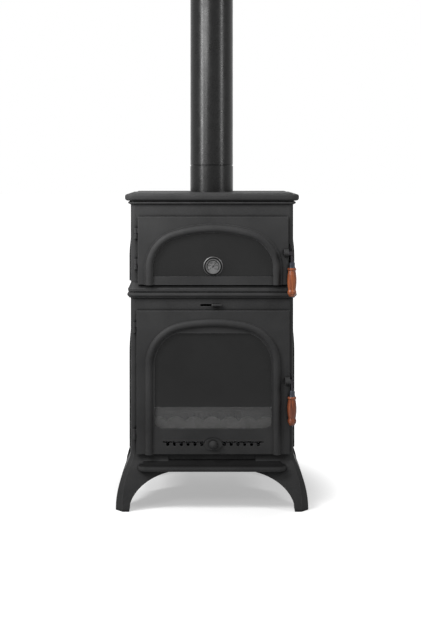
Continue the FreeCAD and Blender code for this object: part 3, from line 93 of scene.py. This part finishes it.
def coordinates(tree, stretch=(1, 1, 1)):
    """Object coordinates, which are metres in the part's frame, stretched along the axes."""
    source = tree.nodes.new("ShaderNodeTexCoord")
    mapping = tree.nodes.new("ShaderNodeMapping")
    mapping.inputs["Scale"].default_value = stretch
    tree.links.new(source.outputs["Object"], mapping.inputs["Vector"])
    return mapping.outputs["Vector"]


def noise(tree, scale, detail, stretch=(1, 1, 1), distortion=0.0):
    """Noise in object space; scale is in cells per metre."""
    made = node(tree, "ShaderNodeTexNoise", Scale=scale, Detail=detail, Distortion=distortion)
    tree.links.new(coordinates(tree, stretch), made.inputs["Vector"])
    return made.outputs["Fac"]


def ramp(tree, factor, stops):
    """A colour ramp over a factor from 0 to 1, with (position, colour) stops."""
    made = tree.nodes.new("ShaderNodeValToRGB")
    elements = made.color_ramp.elements
    while len(elements) < len(stops):
        elements.new(0.5)
    for element, (position, colour) in zip(elements, stops):
        element.position = position
        element.color = colour
    tree.links.new(factor, made.inputs["Fac"])
    return made.outputs["Color"]


def grey(value):
    return (value, value, value, 1)


def bump(tree, shader, height, strength, distance):
    made = node(tree, "ShaderNodeBump", Strength=strength, Distance=distance)
    tree.links.new(height, made.inputs["Height"])
    tree.links.new(made.outputs["Normal"], shader.inputs["Normal"])


def blend_colours(tree, factor, first, second, kind="MIX"):
    """Each of the three values is a socket or a plain value."""
    made = node(tree, "ShaderNodeMixRGB", blend_type=kind)
    for socket, value in zip(made.inputs, (factor, first, second)):
        if isinstance(value, bpy.types.NodeSocket):
            tree.links.new(value, socket)
        else:
            socket.default_value = value
    return made.outputs[0]


def smooth_step(tree, value, low, high, at_low=0.0, at_high=1.0):
    """at_low up to low, at_high from high on, and a smooth change between them."""
    made = node(tree, "ShaderNodeMapRange", interpolation_type="SMOOTHSTEP")
    for socket, number in zip(made.inputs[1:5], (low, high, at_low, at_high)):
        socket.default_value = number
    tree.links.new(value, made.inputs["Value"])
    return made.outputs["Result"]


def height_of(tree, vector):
    parts = tree.nodes.new("ShaderNodeSeparateXYZ")
    tree.links.new(vector, parts.inputs[0])
    return parts.outputs["Z"]


def crevices(tree, reach, darkest):
    """Painted shade: white on open surfaces, down to the darkest grey in gaps and corners that
    other surfaces hide.
    """
    hidden = node(tree, "ShaderNodeAmbientOcclusion", samples=6, Distance=reach)
    return ramp(tree, hidden.outputs["AO"], [(0.38, grey(darkest)), (0.82, grey(1.0))])


def worn_edges(tree, radius):
    """1 on the convex edges, where the paint has rubbed thin and a highlight is painted, broken
    up by a noise.
    """
    rounded = node(tree, "ShaderNodeBevel", samples=4, Radius=radius)
    surface = tree.nodes.new("ShaderNodeNewGeometry")
    turned = node(tree, "ShaderNodeVectorMath", operation="DOT_PRODUCT")
    tree.links.new(rounded.outputs["Normal"], turned.inputs[0])
    tree.links.new(surface.outputs["Normal"], turned.inputs[1])
    edge = ramp(tree, turned.outputs["Value"], [(0.90, WHITE), (0.995, grey(0))])
    patchy = ramp(tree, noise(tree, 55.0, 6.0), [(0.35, grey(0.35)), (0.65, WHITE)])
    return blend_colours(tree, 1.0, edge, patchy, "MULTIPLY")


# ---- Materials ----
def cast_iron(name="cast_iron", dark=IRON_DARK, light=IRON_LIGHT, up_shade=1.0):
    """Matte stove paint on sand-cast iron: fine grain, a soft mottle and a low sheen.

    The last argument, below 1, darkens the surfaces that face up: painted shade.
    """
    made, tree, shader = material(name, Specular_IOR_Level=0.04)
    mottle = blend_colours(tree, 0.45, noise(tree, 9.0, 5.0), noise(tree, 330.0, 4.0))
    colour = ramp(tree, mottle, [(0.32, dark), (0.68, light)])
    # Lighter edges: partly worn paint, partly a painted highlight.
    edge_tone = tuple(EDGE_TONE_GAIN * channel for channel in light[:3]) + (1,)
    colour = blend_colours(tree, worn_edges(tree, EDGE_BAND_WIDTH), colour, edge_tone)
    # Painted shade in gaps and corners.
    colour = blend_colours(tree, 1.0, colour, crevices(tree, IRON_SHADE_REACH, 0.03), "MULTIPLY")
    # Painted shade on the surfaces that face up.
    if up_shade < 1.0:
        surface = tree.nodes.new("ShaderNodeNewGeometry")
        facing_up = height_of(tree, surface.outputs["Normal"])
        painted_up_shade = ramp(tree, facing_up, [(0.25, WHITE), (0.75, grey(up_shade))])
        colour = blend_colours(tree, 1.0, colour, painted_up_shade, "MULTIPLY")
    tree.links.new(colour, shader.inputs["Base Color"])
    rough = ramp(tree, noise(tree, 60.0, 3.0), [(0.3, grey(0.44)), (0.7, grey(0.58))])
    tree.links.new(rough, shader.inputs["Roughness"])
    bump(tree, shader, noise(tree, 620.0, 3.0), 0.35, 0.0004)
    return made


def flue_paint():
    """Satin metallic paint on rolled steel, with a fine mottle."""
    made, tree, shader = material("flue_paint", Specular_IOR_Level=0.20)
    colour = ramp(tree, noise(tree, 240.0, 6.0), [(0.3, grey(0.001)), (0.72, grey(0.008))])
    # Painted shade in gaps and corners.
    colour = blend_colours(tree, 1.0, colour, crevices(tree, SMALL_SHADE_REACH, 0.05), "MULTIPLY")
    tree.links.new(colour, shader.inputs["Base Color"])
    rough = ramp(tree, noise(tree, 35.0, 3.0), [(0.3, grey(0.24)), (0.7, grey(0.34))])
    tree.links.new(rough, shader.inputs["Roughness"])
    bump(tree, shader, noise(tree, 260.0, 4.0), 0.14, 0.0004)
    return made


GLASS_ROUGHNESS = 0.05
HEARTH_LINE_Z = 0.329              # the fire glass is dark above this height, partly soot and partly painted shade of the firebox, and pale below it, painted light of the lit hearth
HEARTH_LINE_BLUR = 0.0015


def glass(name, cover, smoke, specular):
    """Ceramic glass: a smoky tint that covers this share of what is behind it."""
    made, tree, shader = material(name, Specular_IOR_Level=specular, Roughness=GLASS_ROUGHNESS)
    tint = ramp(tree, noise(tree, 7.0, 3.0), [(0.3, grey(smoke[0])), (0.7, grey(smoke[1]))])
    tree.links.new(tint, shader.inputs["Base Color"])
    shader.inputs["Alpha"].default_value = cover
    return made


def fire_glass():
    """Ceramic glass, smoked dark above the hearth, partly soot and partly painted shade of the
    firebox, with a thin grey veil below that paints the light on the hearth.
    """
    made, tree, shader = material(
        "stove_glass", Specular_IOR_Level=0.16, Roughness=GLASS_ROUGHNESS)
    low, high = HEARTH_LINE_Z - HEARTH_LINE_BLUR, HEARTH_LINE_Z + HEARTH_LINE_BLUR
    above = smooth_step(tree, height_of(tree, coordinates(tree)), low, high)
    # Painted light of the lit hearth, laid on the lower glass.
    hearth_light_veil = ramp(tree, noise(tree, 40.0, 5.0), [(0.3, grey(0.085)), (0.7, grey(0.105))])
    # Smoke: partly soot, partly painted shade of the dark firebox.
    smoke = ramp(tree, noise(tree, 7.0, 3.0), [(0.3, grey(0.010)), (0.7, grey(0.014))])
    tint = blend_colours(tree, above, hearth_light_veil, smoke)
    tree.links.new(tint, shader.inputs["Base Color"])
    cover = ramp(tree, above, [(0.0, grey(0.50)), (1.0, grey(0.95))])
    tree.links.new(cover, shader.inputs["Alpha"])
    return made


def turned_wood():
    """Varnished hardwood with its grain along the grip."""
    made, tree, shader = material("turned_wood", Roughness=0.30, Specular_IOR_Level=0.3)
    grain = noise(tree, 95.0, 6.0, stretch=(1, 1, 0.10), distortion=0.6)
    colour = ramp(tree, grain, [
        (0.30, (0.050, 0.010, 0.004, 1)),
        (0.45, (0.135, 0.032, 0.010, 1)),
        (0.60, (0.230, 0.062, 0.021, 1)),
        (0.78, (0.400, 0.135, 0.050, 1)),
    ])
    # Painted shade in gaps and corners.
    colour = blend_colours(tree, 1.0, colour, crevices(tree, SMALL_SHADE_REACH, 0.35), "MULTIPLY")
    tree.links.new(colour, shader.inputs["Base Color"])
    bump(tree, shader, grain, 0.12, 0.0006)
    return made


def steel(name, base, rough):
    """Metal with blotchy colour and polish."""
    made, tree, shader = material(name, Metallic=1.0)
    low = tuple(0.8 * c for c in base) + (1,)
    high = tuple(min(1.0, 1.15 * c) for c in base) + (1,)
    marks = noise(tree, 70.0, 5.0)
    tree.links.new(ramp(tree, marks, [(0.3, low), (0.7, high)]), shader.inputs["Base Color"])
    rough_map = ramp(tree, marks, [(0.3, grey(rough * 0.85)), (0.7, grey(rough * 1.2))])
    tree.links.new(rough_map, shader.inputs["Roughness"])
    bump(tree, shader, noise(tree, 900.0, 2.0), 0.08, 0.0003)
    return made


def rope_seal():
    """Woven glass rope, grey, with a diagonal braid."""
    made, tree, shader = material("rope_seal", Roughness=0.95, Specular_IOR_Level=0.1)
    wave = node(
        tree, "ShaderNodeTexWave", wave_type="BANDS", bands_direction="DIAGONAL",
        Scale=190.0, Distortion=1.5, Detail=2.0)
    tree.links.new(coordinates(tree), wave.inputs["Vector"])
    colour = ramp(tree, wave.outputs["Fac"], [(0.1, grey(0.10)), (0.8, grey(0.30))])
    tree.links.new(colour, shader.inputs["Base Color"])
    bump(tree, shader, wave.outputs["Fac"], 0.6, 0.0008)
    return made


def firebrick(name="firebrick", pale=1.0):
    """Grainy refractory board; pale above 1 lifts its greys, below 1 darkens them."""
    made, tree, shader = material(name, Roughness=0.93, Specular_IOR_Level=0.2)
    tones = [(0.3, (0.34, 0.33, 0.31)), (0.5, (0.47, 0.46, 0.44)), (0.75, (0.56, 0.55, 0.53))]
    stops = [(place, (*(pale * channel for channel in tone), 1)) for place, tone in tones]
    colour = ramp(tree, noise(tree, 30.0, 8.0), stops)
    tree.links.new(colour, shader.inputs["Base Color"])
    bump(tree, shader, noise(tree, 260.0, 6.0), 0.5, 0.001)
    return made


def dial_paint():
    """Pale lacquer of the thermometer's dial."""
    made, tree, shader = material("dial_paint", Roughness=0.5, Specular_IOR_Level=0.3)
    colour = ramp(tree, noise(tree, 300.0, 2.0), [(0.3, grey(0.13)), (0.7, grey(0.16))])
    tree.links.new(colour, shader.inputs["Base Color"])
    return made


def bezel():
    """Dark turned metal with a thin bright outer edge, by the distance from the dial's axis."""
    made, tree, shader = material("bezel", Metallic=1.0)
    low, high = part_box("thermometer_case")
    centre = (low + high) / 2
    away = node(tree, "ShaderNodeVectorMath", operation="SUBTRACT")
    away.inputs[1].default_value = centre
    tree.links.new(coordinates(tree), away.inputs[0])
    flat = node(tree, "ShaderNodeVectorMath", operation="MULTIPLY")
    flat.inputs[1].default_value = (1, 0, 1)
    tree.links.new(away.outputs[0], flat.inputs[0])
    radius = node(tree, "ShaderNodeVectorMath", operation="LENGTH")
    tree.links.new(flat.outputs[0], radius.inputs[0])
    share = node(tree, "ShaderNodeMath", operation="DIVIDE")
    share.inputs[1].default_value = (high.x - low.x) / 2
    tree.links.new(radius.outputs["Value"], share.inputs[0])
    colour = ramp(tree, share.outputs[0], [
        (0.73, grey(0.16)), (0.79, grey(0.010)), (0.91, grey(0.010)), (0.95, grey(0.10)),
    ])
    tree.links.new(colour, shader.inputs["Base Color"])
    rough = ramp(tree, noise(tree, 300.0, 3.0), [(0.3, grey(0.4)), (0.7, grey(0.52))])
    tree.links.new(rough, shader.inputs["Roughness"])
    return made


def plain_paint(name, value, rough):
    """A grey paint with a faint fine mottle."""
    made, tree, shader = material(name, Roughness=rough, Specular_IOR_Level=0.3)
    stops = [(0.3, grey(value * 0.9)), (0.7, grey(value * 1.1))]
    colour = ramp(tree, noise(tree, 400.0, 2.0), stops)
    tree.links.new(colour, shader.inputs["Base Color"])
    return made


SLOT_MATERIALS = {
    "cast_iron": cast_iron(),
    "flue_paint": flue_paint(),
    "stove_glass": fire_glass(),
    "turned_wood": turned_wood(),
    "steel": steel("steel", (0.36, 0.37, 0.39), 0.38),
    "rope_seal": rope_seal(),
    "firebrick": firebrick(),
    "bright_trim": bezel(),
    "dial_paint": dial_paint(),
    "oven_enamel": cast_iron("oven_enamel", grey(0.010), grey(0.016)),
}
BLUED_STEEL = steel("blued_steel", (0.040, 0.043, 0.053), 0.36)
LEVER_IRON = steel("lever_iron", (0.030, 0.028, 0.031), 0.45)
UP_SHADED_IRON = cast_iron("up_shaded_iron", up_shade=0.28)
# Cast iron with painted shade on its upward faces, for the ash lip and the base plate.
NODE_MATERIALS = {
    "ash_lip": UP_SHADED_IRON,
    "base_plate": UP_SHADED_IRON,
    # The fence is lightened by 1.6: partly a cream board, partly painted light in place of what
    # the dark glass holds back.
    "log_fence": firebrick("cream_lit_firebrick", 1.6),
    "hearth_bricks": firebrick("ashy_firebrick", 0.45),
    "hinge_pins": LEVER_IRON,
    "fire_latch_pin": LEVER_IRON,
    "oven_latch_pin": LEVER_IRON,
    "fire_grip_fittings": BLUED_STEEL,
    "oven_grip_fittings": BLUED_STEEL,
    "fire_latch_lever": LEVER_IRON,
    "oven_latch_lever": LEVER_IRON,
    "oven_door_glass": glass("oven_glass", 0.94, (0.008, 0.012), 0.20),
    "thermometer_lens": glass("clear_glass", 0.04, (0.05, 0.06), 0.20),
    "thermometer_pointer": plain_paint("pointer_paint", 0.02, 0.4),
    "fire_grate": plain_paint("ashy_iron", 0.16, 0.9),
}


def paint_nodes():
    """Each carried-over node gets its own material, or its slot's."""
    for sub in frame["record"]["subparts"]:
        mesh = nodes[sub["node"]].data
        chosen = NODE_MATERIALS.get(sub["node"], SLOT_MATERIALS[sub["material_slot"]])
        mesh.materials.clear()
        mesh.materials.append(chosen)


# ---- Thermometer dial: scale arc, ticks and numbers ----
DIAL_MARK_RISE = 0.0002         # how far the ink stands out of the dial
SCALE_START = -132.0            # degrees clockwise from straight up
SCALE_END = 132.0
SCALE_TOP = 500                 # the last number
NUMBER_STEPS = 5
TICK_STEPS = 20
TICKS_PER_LONG = 4
TICK_HALF_ANGLE = 1.4
ARC_STEPS = 60
ARC_INNER = 0.78                # this and the next five are shares of the dial's radius
ARC_OUTER = 0.87
LONG_TICK_INNER = 0.64
SHORT_TICK_INNER = 0.71
NUMBER_RADIUS = 0.50
NUMBER_HEIGHT = 0.24


def add_mark(name, mesh, ink):
    """A piece of ink on the dial, which moves with the oven door."""
    mesh.materials.clear()
    mesh.materials.append(ink)
    mark = bpy.data.objects.new(name, mesh)
    bpy.context.scene.collection.objects.link(mark)
    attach(mark, "oven_door")


def number_mesh(value, height):
    """The mesh of a number, lying in the XY plane with its middle at the origin."""
    text = bpy.data.curves.new("dial_number", "FONT")
    text.body = str(value)
    text.size = height
    text.align_x = "CENTER"
    text.align_y = "CENTER"
    text.extrude = DIAL_MARK_RISE / 2
    holder = bpy.data.objects.new("dial_number", text)
    bpy.context.scene.collection.objects.link(holder)
    bpy.context.view_layer.update()
    final = holder.evaluated_get(bpy.context.evaluated_depsgraph_get())
    mesh = bpy.data.meshes.new_from_object(final)
    bpy.data.objects.remove(holder)
    return mesh


def dial_marks():
    low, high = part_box("thermometer_dial")
    centre = (low + high) / 2
    radius = (high.x - low.x) / 2
    y = low.y - DIAL_MARK_RISE
    ink = plain_paint("dial_ink", 0.012, 0.5)

    def spot(angle, r, depth=0.0):
        turn = math.radians(angle)
        return Vector((centre.x + r * math.sin(turn), y + depth, centre.z + r * math.cos(turn)))

    vertices, faces = [], []

    def sector(a0, a1, r0, r1, count):
        """A flat closed strip between two angles and two radii."""
        start = len(vertices)
        for k in range(count + 1):
            angle = a0 + (a1 - a0) * k / count
            for r in (r0, r1):
                vertices.append(spot(angle, r))
                vertices.append(spot(angle, r, DIAL_MARK_RISE))
        for k in range(count):
            a = start + 4 * k
            b = a + 4
            faces.extend([(a, b, b + 2, a + 2), (a + 1, a + 3, b + 3, b + 1)])
            faces.extend([(a, a + 1, b + 1, b), (a + 2, b + 2, b + 3, a + 3)])
        end = start + 4 * count
        faces.append((start, start + 2, start + 3, start + 1))
        faces.append((end, end + 1, end + 3, end + 2))

    sector(SCALE_START, SCALE_END, radius * ARC_INNER, radius * ARC_OUTER, ARC_STEPS)
    for k in range(TICK_STEPS + 1):
        angle = SCALE_START + (SCALE_END - SCALE_START) * k / TICK_STEPS
        inner = LONG_TICK_INNER if k % TICKS_PER_LONG == 0 else SHORT_TICK_INNER
        ends = angle - TICK_HALF_ANGLE, angle + TICK_HALF_ANGLE
        sector(*ends, radius * inner, radius * ARC_INNER, 1)
    scale = bpy.data.meshes.new("dial_scale")
    scale.from_pydata(vertices, [], faces)
    scale.update()
    add_mark("dial_scale", scale, ink)
    upright = Matrix.Rotation(math.pi / 2, 4, "X")
    for k in range(NUMBER_STEPS + 1):
        angle = SCALE_START + (SCALE_END - SCALE_START) * k / NUMBER_STEPS
        mesh = number_mesh(k * SCALE_TOP // NUMBER_STEPS, radius * NUMBER_HEIGHT)
        mesh.transform(Matrix.Translation(spot(angle, radius * NUMBER_RADIUS)) @ upright)
        add_mark(f"dial_number_{k}", mesh, ink)


# ---- Camera, light and floor ----
def add_camera():
    data = bpy.data.cameras.new("camera")
    data.sensor_fit = "VERTICAL"
    data.sensor_height = SENSOR
    data.sensor_width = SENSOR * IMAGE_W / IMAGE_H
    data.lens = CAMERA_DISTANCE * SENSOR / (METRES_PER_PX * IMAGE_H)
    data.shift_y = (HORIZON_PX - IMAGE_H / 2) / IMAGE_H
    off_axis = -CAMERA_X / METRES_PER_PX
    data.shift_x = (IMAGE_W / 2 + off_axis - MIDDLE_PX) / IMAGE_H
    camera = bpy.data.objects.new("camera", data)
    camera.location = (CAMERA_X, FRONT_FACE_Y - CAMERA_DISTANCE, CAMERA_Z)
    camera.rotation_euler = (math.pi / 2, 0, 0)
    bpy.context.scene.collection.objects.link(camera)
    bpy.context.scene.camera = camera


def add_light(name, place, target, width, height, power):
    data = bpy.data.lights.new(name, "AREA")
    data.shape = "RECTANGLE"
    data.size = width
    data.size_y = height
    data.energy = power
    light = bpy.data.objects.new(name, data)
    light.location = place
    aim = Vector(target) - Vector(place)
    light.rotation_euler = aim.to_track_quat("-Z", "Y").to_euler()
    light.visible_camera = False
    bpy.context.scene.collection.objects.link(light)


def seen_directly(tree):
    """1 for camera, glossy and transmission rays, 0 for the rays that carry diffuse light."""
    path = tree.nodes.new("ShaderNodeLightPath")
    first = node(tree, "ShaderNodeMath", operation="MAXIMUM")
    second = node(tree, "ShaderNodeMath", operation="MAXIMUM")
    tree.links.new(path.outputs["Is Camera Ray"], first.inputs[0])
    tree.links.new(path.outputs["Is Glossy Ray"], first.inputs[1])
    tree.links.new(first.outputs[0], second.inputs[0])
    tree.links.new(path.outputs["Is Transmission Ray"], second.inputs[1])
    return second.outputs[0]


# Name, place, target, width, height (metres) and power (watts) of each area lamp.
LAMPS = [
    ("top", (-0.5, -0.75, 1.7), (0, -0.2, 0.9), 0.4, 0.4, 9.5),
    ("key", (-1.0, -1.5, 1.4), (0, -0.2, 0.9), 0.5, 0.5, 6.5),
    ("strip_left", (-1.18, -0.82, 1.58), (0, 0.1, 1.5), 0.16, 1.0, 27),
    ("strip_right", (1.20, -0.77, 1.58), (0, 0.1, 1.5), 0.16, 1.0, 12),
]
WORLD_LIGHT = 0.30
FLOOR_HALF = 40.0
FLOOR_COLOUR = 0.62
FLOOR_LIFT = (0.38, 1.0)        # seen strength near the stove and far from it
FLOOR_NEAR = 0.28               # metres from the middle: the floor keeps its shadow up to here
FLOOR_FAR = 0.55                # and is plain white from here on, where its glow paints light over the stove's shadow
FLOOR_SQUASH = (1, 0.8, 1)      # the shadow's patch reaches further front to back


def add_world():
    """A dim white light on the object, seen as plain white."""
    world = bpy.data.worlds.new("studio")
    bpy.context.scene.world = world
    world.use_nodes = True
    tree = world.node_tree
    tree.nodes.clear()
    output = tree.nodes.new("ShaderNodeOutputWorld")
    dim = node(tree, "ShaderNodeBackground", Color=WHITE, Strength=WORLD_LIGHT)
    bright = node(tree, "ShaderNodeBackground", Color=WHITE, Strength=1.0)
    mix = tree.nodes.new("ShaderNodeMixShader")
    tree.links.new(seen_directly(tree), mix.inputs[0])
    tree.links.new(dim.outputs[0], mix.inputs[1])
    tree.links.new(bright.outputs[0], mix.inputs[2])
    tree.links.new(mix.outputs[0], output.inputs["Surface"])


def add_floor():
    """A pale floor that keeps the shadow under the stove; round it, a glow seen by the camera
    rises to white and paints light over the rest of the shadow.
    """
    half = FLOOR_HALF
    corners = [(-half, -half, 0), (half, -half, 0), (half, half, 0), (-half, half, 0)]
    mesh = bpy.data.meshes.new("floor")
    mesh.from_pydata(corners, [], [(0, 1, 2, 3)])
    floor = bpy.data.objects.new("floor", mesh)
    bpy.context.scene.collection.objects.link(floor)
    made = bpy.data.materials.new("floor")
    made.use_nodes = True
    tree = made.node_tree
    tree.nodes.clear()
    output = tree.nodes.new("ShaderNodeOutputMaterial")
    diffuse = node(tree, "ShaderNodeBsdfDiffuse", Color=grey(FLOOR_COLOUR))
    lift = node(tree, "ShaderNodeEmission", Color=WHITE)
    reach = node(tree, "ShaderNodeVectorMath", operation="LENGTH")
    tree.links.new(coordinates(tree, FLOOR_SQUASH), reach.inputs[0])
    shadow_clearing_glow = smooth_step(tree, reach.outputs["Value"], FLOOR_NEAR, FLOOR_FAR, *FLOOR_LIFT)
    strength = node(tree, "ShaderNodeMath", operation="MULTIPLY")
    tree.links.new(shadow_clearing_glow, strength.inputs[1])
    tree.links.new(seen_directly(tree), strength.inputs[0])
    tree.links.new(strength.outputs[0], lift.inputs["Strength"])
    add = tree.nodes.new("ShaderNodeAddShader")
    tree.links.new(diffuse.outputs[0], add.inputs[0])
    tree.links.new(lift.outputs[0], add.inputs[1])
    tree.links.new(add.outputs[0], output.inputs["Surface"])
    mesh.materials.append(made)


paint_nodes()
dial_marks()
add_camera()
add_world()
add_floor()
for lamp in LAMPS:
    add_light(*lamp)
bpy.context.scene.view_settings.view_transform = "Standard"
